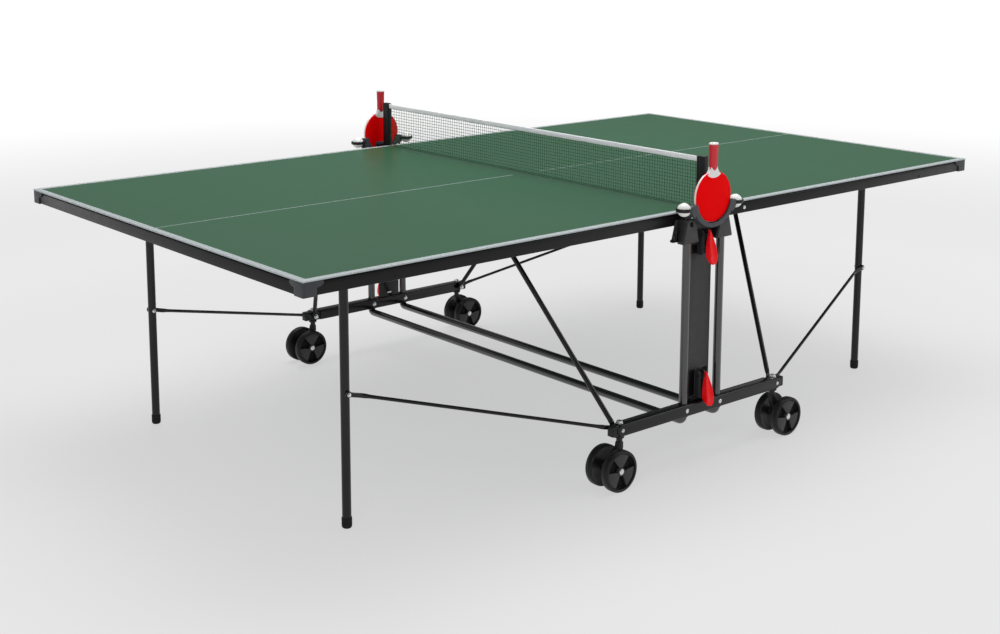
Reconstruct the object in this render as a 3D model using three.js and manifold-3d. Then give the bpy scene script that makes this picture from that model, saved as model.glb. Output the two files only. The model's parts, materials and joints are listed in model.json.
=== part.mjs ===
// Folding table tennis table: two half tops that tip up on a wheeled undercarriage.
// Millimetres, +Z up. The origin is on the floor under the middle of the net.
// +X runs along the table's length, +Y across it; "near" is the -Y side, "left" the -X side.

import * as THREE from 'three';
import { mergeVertices } from 'three/addons/utils/BufferGeometryUtils.js';
import Module from 'manifold-3d';

const wasm = await Module();
wasm.setup();

// ---------------------------------------------------------------- driving dimensions

const GAP = 0.3;

const TABLE_LENGTH = 2740;
const TABLE_WIDTH = 1525;
const TABLE_HEIGHT = 760;
const BOARD_THICK = 4;
const CENTRE_GAP = 3;

const HALF_LENGTH = TABLE_LENGTH / 2;
const HALF_WIDTH = TABLE_WIDTH / 2;
const BOARD_UNDER = TABLE_HEIGHT - BOARD_THICK;

const APRON_BOTTOM = 720;
const APRON_THICK = 18;
const APRON_INSET = 2;
const INNER_BAR_BOTTOM = 732;
const CAP_SIZE = 46;
const CAP_WALL = 1.7;

const UPRIGHT_X = 72;
const RAIL_Y = 783;
const UPRIGHT_RADIUS = 12.5;
const UPRIGHT_TOP = 745.7;
const CROSS_TUBE_Z = 135;
const BEND_RADIUS = 15;

const RAIL_HALF_LENGTH = 372;
const RAIL_BOTTOM = 150.5;
const RAIL_TOP = 186.5;
const RAIL_HALF_WIDTH = 17;
const RAIL_END_X = 337;
const RAIL_END_Z = 168.5;
const RAIL_NOTCH_Y = 771;

const PIVOT_Z = 727;
const SLEEVE_TRAVEL = 482;
const SLEEVE_BOTTOM = 670;
const SLEEVE_TOP = 744;
const PIVOT_PIN_RADIUS = 5;

const STRUT_TOP_Z = 704;
const STRUT_TOP_Y = 466;
const STRUT_FOOT_Y = 759.7;
const STRUT_RADIUS = 7.5;

const LEG_X = 1098;
const LEG_Y = 532;
const LEG_RADIUS = 12.5;
const LEG_AXLE_Z = 728;
const LEG_AXLE_RADIUS = 10;
const LEG_BOLT_Z = 372;
const FOOT_HEIGHT = 30;

const TIE_RADIUS = 5;
const TIE_TOP_Y = 548.2;
const TIE_FOOT_Y = 767.7;

const SWIVEL_X = 334;
const CASTER_TRAIL = 31;
const WHEEL_RADIUS = 61;
const WHEEL_INNER_FACE = 19.5;
const WHEEL_OUTER_FACE = 44.5;
const STEM_RADIUS = 9;

const PANEL_HALF_WIDTH = 45;
const PANEL_INNER_Y = 771;
const PANEL_THICK = 3;
const LATCH_Y = 786;
const LATCH_TOP_Z = 686;
const LATCH_BOTTOM_Z = 259;

const HOLDER_PLATE = 6;
const POST_INNER_Y = 756;
const POST_OUTER_Y = 784;
const POST_HALF_WIDTH = 10;
const NET_TOP = 912.5;
const NET_BOTTOM = 764;
const TAPE_HEIGHT = 15;

const BAT_Y = 812;
const BLADE_RADIUS = 75;
const BLADE_Z = 803;
const BAT_TOP = 959;
const BALL_RADIUS = 20;
const BALL_X = 110;
const BALL_Y = 804;
const BALL_Z = 775;

// The strut's top pin lies where one strut length serves both the flat and the folded half.
const strutOffset = (() => {
  const dropX = UPRIGHT_X - (STRUT_TOP_Z - PIVOT_Z) - RAIL_END_X;
  const dropZ = PIVOT_Z - SLEEVE_TRAVEL - RAIL_END_Z;
  const flatX = UPRIGHT_X - RAIL_END_X;
  const flatZ = STRUT_TOP_Z - RAIL_END_Z;
  return (dropX ** 2 + dropZ ** 2 - flatX ** 2 - flatZ ** 2) / (2 * (flatX - dropZ));
})();
const STRUT_TOP_X = UPRIGHT_X + strutOffset;

// ---------------------------------------------------------------- materials

const paint = (color, roughness, metalness) =>
  new THREE.MeshStandardMaterial({ color, roughness, metalness });

const MATERIALS = {
  green: () => paint(0x4b6e58, 0.45, 0.0),
  steel: () => paint(0x17181a, 0.4, 0.5),
  plastic: () => paint(0x2b2d31, 0.6, 0.0),
  rubber: () => paint(0x121212, 0.9, 0.0),
  red: () => paint(0xd01818, 0.35, 0.0),
  net: () => paint(0x20442f, 0.9, 0.0),
  tape: () => paint(0xe8eaee, 0.8, 0.0),
  ball: () => paint(0xf4f4f2, 0.5, 0.0),
};

// ---------------------------------------------------------------- solids

function toSolid(geometry) {
  const bare = geometry.clone();
  bare.deleteAttribute('normal');
  bare.deleteAttribute('uv');
  const merged = mergeVertices(bare, 1e-3);
  return new wasm.Manifold(new wasm.Mesh({
    numProp: 3,
    vertProperties: Float32Array.from(merged.attributes.position.array),
    triVerts: Uint32Array.from(merged.index.array),
  }));
}

function toGeometry(solid) {
  const mesh = solid.getMesh();
  const geometry = new THREE.BufferGeometry();
  geometry.setAttribute('position', new THREE.BufferAttribute(mesh.vertProperties, 3));
  geometry.setIndex(new THREE.BufferAttribute(mesh.triVerts, 1));
  return geometry;
}

const join = (first, ...others) => others.reduce((sum, part) => sum.add(part), first);
const cut = (body, ...tools) => tools.reduce((left, tool) => left.subtract(tool), body);

function box(x0, x1, y0, y1, z0, z1) {
  const geometry = new THREE.BoxGeometry(x1 - x0, y1 - y0, z1 - z0);
  geometry.translate((x0 + x1) / 2, (y0 + y1) / 2, (z0 + z1) / 2);
  return toSolid(geometry);
}

function rod(axis, radius, length, centre, sides = 16) {
  const geometry = new THREE.CylinderGeometry(radius, radius, length, sides);
  if (axis === 'x') geometry.rotateZ(Math.PI / 2);
  if (axis === 'z') geometry.rotateX(Math.PI / 2);
  geometry.translate(...centre);
  return toSolid(geometry);
}

// An outline in the XZ plane, given thickness along Y.
function slab(shape, y0, y1, curveSegments = 8) {
  const options = { depth: y1 - y0, bevelEnabled: false, curveSegments };
  const geometry = new THREE.ExtrudeGeometry(shape, options);
  geometry.rotateX(Math.PI / 2);
  geometry.translate(0, y1, 0);
  return toSolid(geometry);
}

function polygon(points) {
  return new THREE.Shape(points.map(([x, z]) => new THREE.Vector2(x, z)));
}

function lathe(points, segments) {
  const profile = points.map(([r, h]) => new THREE.Vector2(r, h));
  return new THREE.LatheGeometry(profile, segments);
}

function arcBand(x, z, innerRadius, outerRadius, startDegrees, endDegrees) {
  const start = THREE.MathUtils.degToRad(startDegrees);
  const end = THREE.MathUtils.degToRad(endDegrees);
  const shape = new THREE.Shape();
  shape.absarc(x, z, outerRadius, start, end, false);
  shape.absarc(x, z, innerRadius, end, start, true);
  return shape;
}

// A route through given points whose sections stand exactly on those points.
class Route extends THREE.Curve {
  constructor(points) {
    super();
    this.points = points.map((p) => new THREE.Vector3(...p));
  }

  get steps() {
    return this.points.length - 1;
  }

  getPoint(t) {
    const place = t * this.steps;
    const index = Math.min(Math.floor(place + 1e-6), this.steps - 1);
    return this.points[index].clone().lerp(this.points[index + 1], place - index);
  }

  getPointAt(u) {
    return this.getPoint(u);
  }

  getTangentAt(u) {
    const index = Math.round(u * this.steps);
    const before = this.points[Math.max(index - 1, 0)];
    const here = this.points[index];
    const after = this.points[Math.min(index + 1, this.steps)];
    const arrive = here.clone().sub(before).normalize();
    const leave = after.clone().sub(here).normalize();
    return arrive.add(leave).normalize();
  }

  getSpacedPoints(divisions) {
    return Array.from({ length: divisions + 1 }, (_, i) => this.getPoint(i / divisions));
  }
}

function tube(points, radius, sides = 12) {
  const route = new Route(points);
  const ring = Array.from({ length: sides }, (_, i) => {
    const angle = (2 * Math.PI * i) / sides;
    return [radius * Math.cos(angle), radius * Math.sin(angle)];
  });
  const options = { steps: route.steps, bevelEnabled: false, extrudePath: route };
  return toSolid(new THREE.ExtrudeGeometry(polygon(ring), options));
}

const group = new THREE.Group();

function addMesh(name, solid, material, position = [0, 0, 0], turn = 0) {
  const mesh = new THREE.Mesh(toGeometry(solid), MATERIALS[material]());
  mesh.name = name;
  mesh.position.set(...position);
  mesh.rotation.z = turn;
  group.add(mesh);
}

// ---------------------------------------------------------------- undercarriage

// Both bends of the U lie between a vertical upright and the level cross tube.
function uFrame() {
  const bendSteps = 5;
  const points = [[0, -RAIL_Y, UPRIGHT_TOP]];
  for (const side of [-1, 1]) {
    const bend = [];
    for (let i = 0; i <= bendSteps; i += 1) {
      const angle = (Math.PI / 2) * (i / bendSteps);
      const y = side * (RAIL_Y - BEND_RADIUS * (1 - Math.cos(angle)));
      const z = CROSS_TUBE_Z + BEND_RADIUS * (1 - Math.sin(angle));
      bend.push([0, y, z]);
    }
    points.push(...(side < 0 ? bend : bend.reverse()));
  }
  points.push([0, RAIL_Y, UPRIGHT_TOP]);
  return tube(points, UPRIGHT_RADIUS, 12);
}

// The rail lies along X: holes take the uprights and caster stems, and each end is
// thinned on its inner side for the strut and tie rod eyes.
function rail() {
  const corner = 6;
  const middleZ = (RAIL_BOTTOM + RAIL_TOP) / 2;
  const halfHeight = (RAIL_TOP - RAIL_BOTTOM) / 2;
  const outline = new THREE.Shape();
  const places = [[1, -1, -90], [1, 1, 0], [-1, 1, 90], [-1, -1, 180]];
  for (const [sideX, sideZ, start] of places) {
    const from = THREE.MathUtils.degToRad(start);
    const x = sideX * (RAIL_HALF_LENGTH - corner);
    const z = middleZ + sideZ * (halfHeight - corner);
    outline.absarc(x, z, corner, from, from + Math.PI / 2, false);
  }
  const outerY = RAIL_HALF_WIDTH;
  const notchY = RAIL_Y - RAIL_NOTCH_Y;
  const notchCentreX = 342;
  const notchHalf = 30;
  const uprightClearance = 0.7;
  const holeLength = 80;
  let body = slab(outline, -outerY, outerY, 2);
  for (const side of [-1, 1]) {
    const notchX = side * notchCentreX;
    const notch = box(notchX - notchHalf, notchX + notchHalf, notchY, 2 * outerY, 0, 2 * RAIL_TOP);
    const uprightPlace = [side * UPRIGHT_X, 0, middleZ];
    const stemPlace = [side * SWIVEL_X, 0, middleZ];
    const uprightHole = rod('z', UPRIGHT_RADIUS + uprightClearance, holeLength, uprightPlace);
    const stemHole = rod('z', STEM_RADIUS + GAP, holeLength, stemPlace);
    body = cut(body, notch, uprightHole, stemHole);
  }
  return body;
}

// A flat plate between the uprights; the cheeks between its windows carry the pins of
// the two latches.
function centrePanel() {
  const bottom = RAIL_TOP + GAP;
  const top = UPRIGHT_TOP;
  const inner = RAIL_Y - PANEL_INNER_Y;
  const outer = inner - PANEL_THICK;
  const windowX = 26.5;
  const windowHalf = 12;
  const windows = [[200, 278], [632, 657]];
  const cheekX = 11;
  const cheekHalf = 2.2;
  const cheeks = [[190, 275], [626, 700]];
  const pinY = RAIL_Y - LATCH_Y;
  const cheekOuter = pinY - 9;
  const pinHole = 3.3;
  let body = box(-PANEL_HALF_WIDTH, PANEL_HALF_WIDTH, outer, inner, bottom, top);
  for (const side of [-1, 1]) {
    for (const [z0, z1] of windows) {
      const x = side * windowX;
      body = cut(body, box(x - windowHalf, x + windowHalf, outer - 1, inner + 1, z0, z1));
    }
    for (const [z0, z1] of cheeks) {
      const x = side * cheekX;
      body = join(body, box(x - cheekHalf, x + cheekHalf, cheekOuter, inner - 1, z0, z1));
    }
  }
  for (const z of [LATCH_BOTTOM_Z, LATCH_TOP_Z]) {
    body = cut(body, rod('x', pinHole, 4 * cheekX, [0, pinY, z], 8));
  }
  return body;
}

// A pointed drop with a thick grip that reaches below it, hung from a cross pin.
function latchLever() {
  const tip = 17;
  const drop = 66;
  const halfWidth = 18;
  const plateBack = -17;
  const plateFront = -23;
  const gripFront = -41;
  const gripHalfWidth = 17;
  const gripTop = 3;
  const gripBottom = -83;
  const hubRadius = 7.5;
  const hubHalfWidth = 8;
  const pinRadius = 2.9;
  const pinLength = 27;
  const dropShape = (width, top, bottom) => {
    const belly = bottom + width;
    const shape = new THREE.Shape();
    shape.moveTo(0, top);
    shape.quadraticCurveTo(-width, (top + belly) / 2, -width, belly);
    shape.absarc(0, belly, width, Math.PI, 2 * Math.PI, false);
    shape.quadraticCurveTo(width, (top + belly) / 2, 0, top);
    return shape;
  };
  return join(
    slab(dropShape(halfWidth, tip, -drop), plateFront, plateBack, 4),
    slab(dropShape(gripHalfWidth, gripTop, gripBottom), gripFront, plateFront + 1, 3),
    box(-hubHalfWidth, hubHalfWidth, plateBack - 1, 0, -hubRadius, hubRadius),
    rod('x', hubRadius, 2 * hubHalfWidth, [0, 0, 0], 12),
    rod('x', pinRadius, pinLength, [0, 0, 0], 8),
  );
}

// Closes the tops of both uprights and holds one bat by its blade and two balls.
function batHolder() {
  const plateBottom = UPRIGHT_TOP + GAP;
  const plateTop = plateBottom + HOLDER_PLATE;
  const plateHalfLength = 90;
  const plateOuterY = -799;
  const plateInnerY = -767;
  const backY = [801.7, 805.5];
  const frontY = [818.5, 822];
  const shieldHalfWidth = 30;
  const shieldZ = [722, 770];
  const webHalfWidth = 12;
  const webBottom = 724;
  const webTop = 762;
  const innerRadius = BLADE_RADIUS + 2;
  const outerRadius = BLADE_RADIUS + 15;
  const backLip = 12;
  const frontLip = 7;
  const bandStart = 192;
  const bandEnd = 348;
  const ringInner = BALL_RADIUS + 0.6;
  const ringOuter = BALL_RADIUS + 4;
  const ringHalfHeight = 5;
  const linkX = 83.3;
  const linkHalfLength = 5.3;
  const linkY = [-812, -802];
  const band = (inner, y) => slab(
    arcBand(0, BLADE_Z, inner, outerRadius, bandStart, bandEnd), -y[1], -y[0], 7,
  );
  let body = join(
    box(-plateHalfLength, plateHalfLength, plateOuterY, plateInnerY, plateBottom, plateTop),
    box(-shieldHalfWidth, shieldHalfWidth, -backY[0] - 1.3, plateOuterY + 5, plateBottom, webTop),
    box(-webHalfWidth, webHalfWidth, -backY[0] - 1.3, plateInnerY - 10, webBottom, plateTop),
    box(-shieldHalfWidth, shieldHalfWidth, -backY[1], -backY[0], ...shieldZ),
    band(innerRadius - backLip, backY),
    band(innerRadius, [backY[0], frontY[1]]),
    band(innerRadius - frontLip, frontY),
  );
  for (const side of [-1, 1]) {
    const profile = [[-1, ringInner], [-1, ringOuter], [1, ringOuter], [1, ringInner], [-1, ringInner]];
    const ringGeometry = lathe(profile.map(([end, r]) => [r, end * ringHalfHeight]), 24);
    ringGeometry.rotateX(Math.PI / 2);
    ringGeometry.translate(side * BALL_X, -BALL_Y, BALL_Z);
    const x = side * linkX;
    const link = box(x - linkHalfLength, x + linkHalfLength, ...linkY, BALL_Z - 7, BALL_Z + 6);
    body = join(body, toSolid(ringGeometry), link);
  }
  return body;
}

// The post stands on the bat holder. Beside the boards it is stepped back, so that it
// clears their edges.
function netPost() {
  const bottom = UPRIGHT_TOP + GAP + HOLDER_PLATE + GAP;
  const top = NET_TOP + 3;
  const stepY = -HALF_WIDTH - 3;
  const stepTop = TABLE_HEIGHT + 3;
  const post = box(-POST_HALF_WIDTH, POST_HALF_WIDTH, -POST_OUTER_Y, -POST_INNER_Y, bottom, top);
  const step = box(-2 * POST_HALF_WIDTH, 2 * POST_HALF_WIDTH, stepY, -POST_INNER_Y + 1, bottom - 1, stepTop);
  return cut(post, step);
}

// ---------------------------------------------------------------- one half top

// Built for the right half; the left half is the same piece turned half round.
function topFrame() {
  const outerX = HALF_LENGTH - APRON_INSET;
  const outerY = HALF_WIDTH - APRON_INSET;
  const innerY = outerY - APRON_THICK;
  const top = BOARD_UNDER - GAP;
  const barHalf = 10;
  const barBottom = 724;
  const barTop = 742;
  const lugThick = 5;
  const lugRadius = 10;
  const lugGap = 4;
  const lugTop = barBottom + 2;
  const pinClearance = 0.4;
  const boreLength = 60;
  const into = 1;
  let body = join(
    box(outerX - APRON_THICK, outerX, -outerY, outerY, APRON_BOTTOM, top),
    box(CENTRE_GAP, CENTRE_GAP + APRON_THICK, -outerY, outerY, INNER_BAR_BOTTOM, top),
    box(STRUT_TOP_X - barHalf, STRUT_TOP_X + barHalf, -innerY - into, innerY + into, barBottom, barTop),
    rod('y', LEG_AXLE_RADIUS, 2 * (innerY + into), [LEG_X, 0, LEG_AXLE_Z], 14),
  );
  for (const side of [-1, 1]) {
    const apronY = side * (innerY + APRON_THICK / 2);
    const apron = box(
      CENTRE_GAP, outerX, apronY - APRON_THICK / 2, apronY + APRON_THICK / 2, APRON_BOTTOM, top,
    );
    const pinPlace = [UPRIGHT_X, apronY, PIVOT_Z];
    body = cut(join(body, apron), rod('y', PIVOT_PIN_RADIUS + pinClearance, boreLength, pinPlace, 16));
    for (const edge of [-1, 1]) {
      const lugY = side * STRUT_TOP_Y + edge * (lugGap + lugThick / 2);
      const y0 = lugY - lugThick / 2;
      const y1 = lugY + lugThick / 2;
      const plate = box(STRUT_TOP_X - lugRadius, STRUT_TOP_X + lugRadius, y0, y1, STRUT_TOP_Z, lugTop);
      const eye = rod('y', lugRadius, lugThick, [STRUT_TOP_X, lugY, STRUT_TOP_Z], 16);
      body = join(body, plate, eye);
    }
  }
  return body;
}

// A moulded corner that hooks under the apron's corner; its corner is at the local origin.
function cornerCap() {
  const bottom = APRON_BOTTOM - CAP_WALL - GAP;
  const top = BOARD_UNDER - GAP;
  const armWidth = 26;
  const outer = box(-CAP_SIZE, 0, 0, CAP_SIZE, bottom, top);
  const pocket = box(-CAP_SIZE - 1, -CAP_WALL, CAP_WALL, CAP_SIZE + 1, APRON_BOTTOM - GAP, top + 1);
  const inside = box(-CAP_SIZE - 1, -armWidth, armWidth, CAP_SIZE + 1, bottom - 1, top + 1);
  return cut(outer, pocket, inside);
}

// The leg hangs from the frame's axle by a short sleeve. Its origin is on that axle.
function leg() {
  const bolt = LEG_BOLT_Z - LEG_AXLE_Z;
  const boltHole = 3.4;
  const intoFoot = 18;
  const top = -8;
  const bottom = FOOT_HEIGHT - intoFoot - LEG_AXLE_Z;
  const hubWall = 6;
  const hubLength = 42;
  const boreClearance = 0.6;
  const boreLength = 60;
  const hub = rod('y', LEG_AXLE_RADIUS + hubWall, hubLength, [0, 0, 0], 16);
  const stalk = rod('z', LEG_RADIUS, top - bottom, [0, 0, (top + bottom) / 2], 16);
  const bore = rod('y', LEG_AXLE_RADIUS + boreClearance, boreLength, [0, 0, 0], 16);
  return cut(join(hub, stalk), bore, rod('y', boltHole, boreLength, [0, 0, bolt], 10));
}

// A soft cap with a domed sole, open at the top for the leg.
function legFoot() {
  const bore = LEG_RADIUS + GAP;
  const outer = LEG_RADIUS + 1.8;
  const floor = 11.6;
  const profile = [
    [0, 0], [8, 0], [12.2, 1.8], [outer, 6], [outer, FOOT_HEIGHT], [bore, FOOT_HEIGHT], [bore, floor],
    [0, floor],
  ];
  const geometry = lathe(profile, 16);
  geometry.rotateX(Math.PI / 2);
  return toSolid(geometry);
}

// A bent rod with an eye at each end, which turns on a bolt that lies along Y. Near both
// eyes the rod is pressed flat, over flatLength.
function linkRod(points, radius, eyeRadius, eyeThick, flatLength) {
  const holeRadius = 4.3;
  const ends = [points[0], points[points.length - 1]];
  const trim = 12;
  let body = tube(points, radius, 8);
  for (const end of ends) {
    body = join(body, rod('y', eyeRadius, eyeThick, end, 12));
  }
  for (const [x, y, z] of ends) {
    const face = eyeThick / 2;
    const [x0, x1, z0, z1] = [x - flatLength, x + flatLength, z - flatLength, z + flatLength];
    body = cut(
      body,
      rod('y', holeRadius, 4 * eyeThick, [x, y, z], 8),
      box(x0, x1, y + face, y + face + trim, z0, z1),
      box(x0, x1, y - face - trim, y - face, z0, z1),
    );
  }
  return body;
}

// The rod runs straight along its eyes' planes over the first and last shares of its length.
function linkRoute(foot, top, footShare, topShare) {
  const mix = (t, y) => [foot[0] + t * (top[0] - foot[0]), y, foot[2] + t * (top[2] - foot[2])];
  return [foot, mix(footShare, foot[1]), mix(1 - topShare, top[1]), top];
}

function strut(sideX, sideY) {
  const foot = [sideX * RAIL_END_X, sideY * STRUT_FOOT_Y, RAIL_END_Z];
  const top = [sideX * STRUT_TOP_X, sideY * STRUT_TOP_Y, STRUT_TOP_Z];
  const eyeRadius = 10;
  const eyeThick = 6.4;
  const flatLength = 23;
  return linkRod(linkRoute(foot, top, 0.025, 0.05), STRUT_RADIUS, eyeRadius, eyeThick, flatLength);
}

function tieRod(sideX, sideY) {
  const foot = [sideX * RAIL_END_X, sideY * TIE_FOOT_Y, RAIL_END_Z];
  const top = [sideX * LEG_X, sideY * TIE_TOP_Y, LEG_BOLT_Z];
  const eyeRadius = 9.5;
  const eyeThick = 5.4;
  const flatLength = 54;
  return linkRod(linkRoute(foot, top, 0.055, 0.055), TIE_RADIUS, eyeRadius, eyeThick, flatLength);
}

// A moulded sleeve that runs on one upright and carries the half's pivot pin.
// Its origin is on the upright's axis at floor level, with the table towards +Y.
function sleeve() {
  const inner = RAIL_Y - 766.5;
  const outer = RAIL_Y - 801;
  const wingFace = RAIL_Y - 769.8;
  const pinEnd = RAIL_Y - 744.5;
  const bore = UPRIGHT_RADIUS + 0.4;
  const footHalf = 33.5;
  const neckHalf = 18;
  const crownHalf = 12;
  const footTop = SLEEVE_BOTTOM + 7;
  const neckZ = SLEEVE_TOP - 8;
  const blockBack = RAIL_Y - 776;
  const coreHalf = 24.5;
  const outline = (half) => polygon([
    [-half, SLEEVE_BOTTOM], [half, SLEEVE_BOTTOM], [half, footTop], [neckHalf, neckZ],
    [crownHalf, SLEEVE_TOP], [-crownHalf, SLEEVE_TOP], [-neckHalf, neckZ], [-half, footTop],
  ]);
  const lipHalf = 54;
  const lipBottom = SLEEVE_BOTTOM + 6;
  const lipTop = SLEEVE_BOTTOM + 14;
  const wingHalf = 48;
  const wingTop = SLEEVE_TOP - 6;
  const wing = polygon([
    [-wingHalf, lipTop], [-lipHalf, lipTop], [-lipHalf, lipBottom], [lipHalf, lipBottom], [lipHalf, lipTop],
    [wingHalf, lipTop], [footHalf + 0.5, wingTop], [-footHalf - 0.5, wingTop],
  ]);
  const intoBlock = 2;
  const pinStart = inner - intoBlock;
  const pinPlace = [0, (pinEnd + pinStart) / 2, PIVOT_Z];
  const boreMiddle = (SLEEVE_TOP + SLEEVE_BOTTOM) / 2;
  const body = join(
    slab(outline(footHalf), outer, blockBack),
    slab(outline(coreHalf), outer, inner),
    slab(wing, wingFace, inner),
    rod('y', PIVOT_PIN_RADIUS, pinEnd - pinStart, pinPlace, 16),
  );
  return cut(body, rod('z', bore, 2 * (SLEEVE_TOP - SLEEVE_BOTTOM), [0, 0, boreMiddle], 20));
}

// ---------------------------------------------------------------- casters

// The body stands between the two wheels; its origin is on the swivel axis at the floor.
function casterFork() {
  const axle = WHEEL_RADIUS;
  const halfThick = 8;
  const crownHalf = 9.5;
  const crownTop = 134;
  const backLow = 110;
  const shoulder = [19, 112];
  const hubRadius = 17;
  const hubStart = 0.35;
  const hubEnd = -Math.PI / 2 - 0.6;
  const axleBore = 6.4;
  const boreLength = 60;
  const stemBottom = 120;
  const stemTop = RAIL_TOP + 3;
  const shape = new THREE.Shape();
  shape.moveTo(-crownHalf, crownTop);
  shape.lineTo(crownHalf, crownTop);
  shape.lineTo(...shoulder);
  shape.lineTo(CASTER_TRAIL + hubRadius, axle + 6);
  shape.absarc(CASTER_TRAIL, axle, hubRadius, hubStart, hubEnd, true);
  shape.lineTo(-crownHalf, backLow);
  const bore = rod('y', axleBore, boreLength, [CASTER_TRAIL, 0, axle], 16);
  const stem = rod('z', STEM_RADIUS, stemTop - stemBottom, [0, 0, (stemTop + stemBottom) / 2], 18);
  return cut(join(slab(shape, -halfThick, halfThick, 5), stem), bore);
}

// Two wheels on one axle, turned about Y, each with a dished outer face.
function casterWheels() {
  const rim = WHEEL_RADIUS;
  const axleRadius = 5.9;
  const tread = 3;
  const corner = 4;
  const dishEdge = rim - 9;
  const dishFloor = WHEEL_OUTER_FACE - 7;
  const capEdge = 9;
  const slope = 2;
  const half = [
    [axleRadius, WHEEL_INNER_FACE], [rim - tread, WHEEL_INNER_FACE], [rim, WHEEL_INNER_FACE + corner],
    [rim, WHEEL_OUTER_FACE - corner], [rim - tread, WHEEL_OUTER_FACE], [dishEdge, WHEEL_OUTER_FACE],
    [dishEdge - slope, dishFloor], [capEdge + slope, dishFloor], [capEdge, WHEEL_OUTER_FACE],
    [0, WHEEL_OUTER_FACE],
  ];
  const mirrored = half.map(([r, h]) => [r, -h]).reverse();
  return toSolid(lathe([...mirrored, ...half], 18));
}

// ---------------------------------------------------------------- bats and balls

function bat() {
  const bladeHalf = 4.8;
  const shoulder = THREE.MathUtils.degToRad(58);
  const shoulderX = BLADE_RADIUS * Math.cos(shoulder);
  const shoulderZ = BLADE_Z + BLADE_RADIUS * Math.sin(shoulder);
  const neckZ = BLADE_Z + 80;
  const neckHalf = 13;
  const flareHalf = 17;
  const flareZ = neckZ - 12;
  const gripStart = BLADE_Z + 66;
  const gripTopRadius = 14.5;
  const gripBottomRadius = 13;
  const gripFlatness = 0.8;
  const outline = new THREE.Shape();
  outline.absarc(0, BLADE_Z, BLADE_RADIUS, Math.PI - shoulder, shoulder, false);
  outline.quadraticCurveTo(flareHalf, flareZ, neckHalf, neckZ);
  outline.lineTo(-neckHalf, neckZ);
  outline.quadraticCurveTo(-flareHalf, flareZ, -shoulderX, shoulderZ);
  const grip = new THREE.CylinderGeometry(gripTopRadius, gripBottomRadius, BAT_TOP - gripStart, 16);
  grip.rotateX(Math.PI / 2);
  grip.scale(1, gripFlatness, 1);
  grip.translate(0, 0, (BAT_TOP + gripStart) / 2);
  return join(slab(outline, -bladeHalf, bladeHalf, 10), toSolid(grip));
}

function ball() {
  return toSolid(new THREE.SphereGeometry(BALL_RADIUS, 14, 9));
}

// ---------------------------------------------------------------- assembly

const SIDES_X = [['left', -1], ['right', 1]];
const SIDES_Y = [['near', -1], ['far', 1]];
const turned = (side) => (side > 0 ? Math.PI : 0);

for (const [sideName, sideX] of SIDES_X) {
  addMesh(`u_frame_${sideName}`, uFrame(), 'steel', [sideX * UPRIGHT_X, 0, 0]);
  const halfTurn = sideX < 0 ? Math.PI : 0;
  const board = box(CENTRE_GAP, HALF_LENGTH, -HALF_WIDTH, HALF_WIDTH, BOARD_UNDER, TABLE_HEIGHT);
  addMesh(`table_top_${sideName}`, board, 'green', [0, 0, 0], halfTurn);
  addMesh(`top_frame_${sideName}`, topFrame(), 'steel', [0, 0, 0], halfTurn);
}

for (const [sideName, sideY] of SIDES_Y) {
  const turn = turned(sideY);
  const railPlace = [0, sideY * RAIL_Y, 0];
  addMesh(`rail_${sideName}`, rail(), 'steel', railPlace, turn);
  addMesh(`centre_panel_${sideName}`, centrePanel(), 'steel', railPlace, turn);
  addMesh(`bat_holder_${sideName}`, batHolder(), 'plastic', [0, 0, 0], turn);
  addMesh(`net_post_${sideName}`, netPost(), 'plastic', [0, 0, 0], turn);
  addMesh(`latch_top_${sideName}`, latchLever(), 'red', [0, sideY * LATCH_Y, LATCH_TOP_Z], turn);
  addMesh(`latch_bottom_${sideName}`, latchLever(), 'red', [0, sideY * LATCH_Y, LATCH_BOTTOM_Z], turn);
  addMesh(`bat_${sideName}`, bat(), 'red', [0, sideY * BAT_Y, 0]);
}

for (const [endName, sideX] of SIDES_X) {
  for (const [sideName, sideY] of SIDES_Y) {
    const place = `${endName}_${sideName}`;
    const cornerTurn = Math.atan2(sideY, sideX) + Math.PI / 4;
    const corner = [sideX * HALF_LENGTH, sideY * HALF_WIDTH, 0];
    const swivel = [sideX * SWIVEL_X, sideY * RAIL_Y, 0];
    const axle = [sideX * (SWIVEL_X + CASTER_TRAIL), sideY * RAIL_Y, WHEEL_RADIUS];
    addMesh(`corner_cap_${place}`, cornerCap(), 'plastic', corner, cornerTurn);
    addMesh(`sleeve_${place}`, sleeve(), 'plastic', [sideX * UPRIGHT_X, sideY * RAIL_Y, 0], turned(sideY));
    addMesh(`leg_${place}`, leg(), 'steel', [sideX * LEG_X, sideY * LEG_Y, LEG_AXLE_Z]);
    addMesh(`leg_foot_${place}`, legFoot(), 'rubber', [sideX * LEG_X, sideY * LEG_Y, 0]);
    addMesh(`strut_${place}`, strut(sideX, sideY), 'steel');
    addMesh(`tie_rod_${place}`, tieRod(sideX, sideY), 'steel');
    addMesh(`caster_fork_${place}`, casterFork(), 'plastic', swivel, sideX < 0 ? Math.PI : 0);
    addMesh(`caster_wheels_${place}`, casterWheels(), 'plastic', axle);
    addMesh(`ball_${place}`, ball(), 'ball', [sideX * BALL_X, sideY * BALL_Y, BALL_Z]);
  }
}

const netEnd = POST_INNER_Y - 0.5;
const netHalfThick = 1.5;
const tapeHalfThick = 2.5;
const tapeBottom = NET_TOP - TAPE_HEIGHT;
const net = box(-netHalfThick, netHalfThick, -netEnd, netEnd, NET_BOTTOM, tapeBottom - GAP);
const tape = box(-tapeHalfThick, tapeHalfThick, -netEnd, netEnd, tapeBottom, NET_TOP);
addMesh('net_mesh', net, 'net');
addMesh('net_tape', tape, 'tape');

export default group;
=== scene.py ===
"""Folding table tennis table: the visible pieces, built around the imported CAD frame.

Places are taken from the frame's nodes. Shapes are drawn in millimetres, in the frame's axes,
and each finished piece is scaled to metres.
"""
import json
import math
import random

import bmesh
import bpy
from mathutils import Matrix, Vector

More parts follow.
